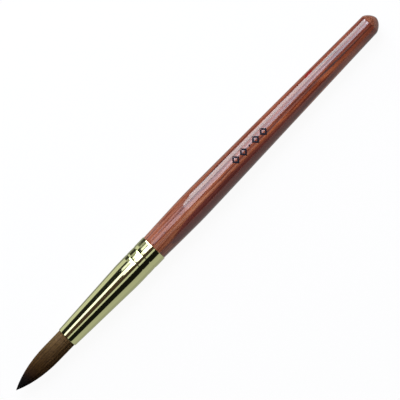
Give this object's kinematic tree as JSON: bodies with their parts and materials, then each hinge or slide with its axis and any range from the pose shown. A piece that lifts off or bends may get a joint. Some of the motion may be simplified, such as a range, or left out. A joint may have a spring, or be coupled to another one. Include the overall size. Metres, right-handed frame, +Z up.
{
  "type": "acrylic nail brush",
  "caption": "Round pointed hair brush with a tapered polished metal ferrule and a turned, lacquered wooden handle, for shaping acrylic nails.",
  "frame": {"origin": "below the middle of the brush's length, on the flat plane that the handle's belly rests on", "axes": "+X along the brush from the hair tip to the butt of the handle, +Z up as the brush lies on a table"},
  "size_m": [0.185, 0.0112, 0.0112],
  "materials": {
    "lacquered_wood": "clear gloss lacquer over red-brown wood",
    "gold_metal": "polished pale gold",
    "brown_hair": "fine natural hair, brown with a black tip",
    "waxed_thread": "waxed cotton",
    "amber_epoxy": "set clear amber epoxy",
    "wood_glue": "dried cream glue"
  },
  "bodies": {
    "brush": {"handle": "lacquered_wood", "ferrule": "gold_metal", "hair_root": "brown_hair", "binding_thread": "waxed_thread", "root_glue": "amber_epoxy", "handle_glue": "wood_glue"},
    "tuft": {"hair_tuft": "brown_hair"}
  },
  "joints": [
    {"name": "tuft_bend", "type": "hinge", "parent": "brush", "child": "tuft", "pos_m": [-0.0663, 0, 0.00562], "axis": [0, 1, 0], "range_deg": [-30, 30], "stiffness_Nm_per_rad": 0.04, "deforming": ["hair_tuft"]}
  ]
}
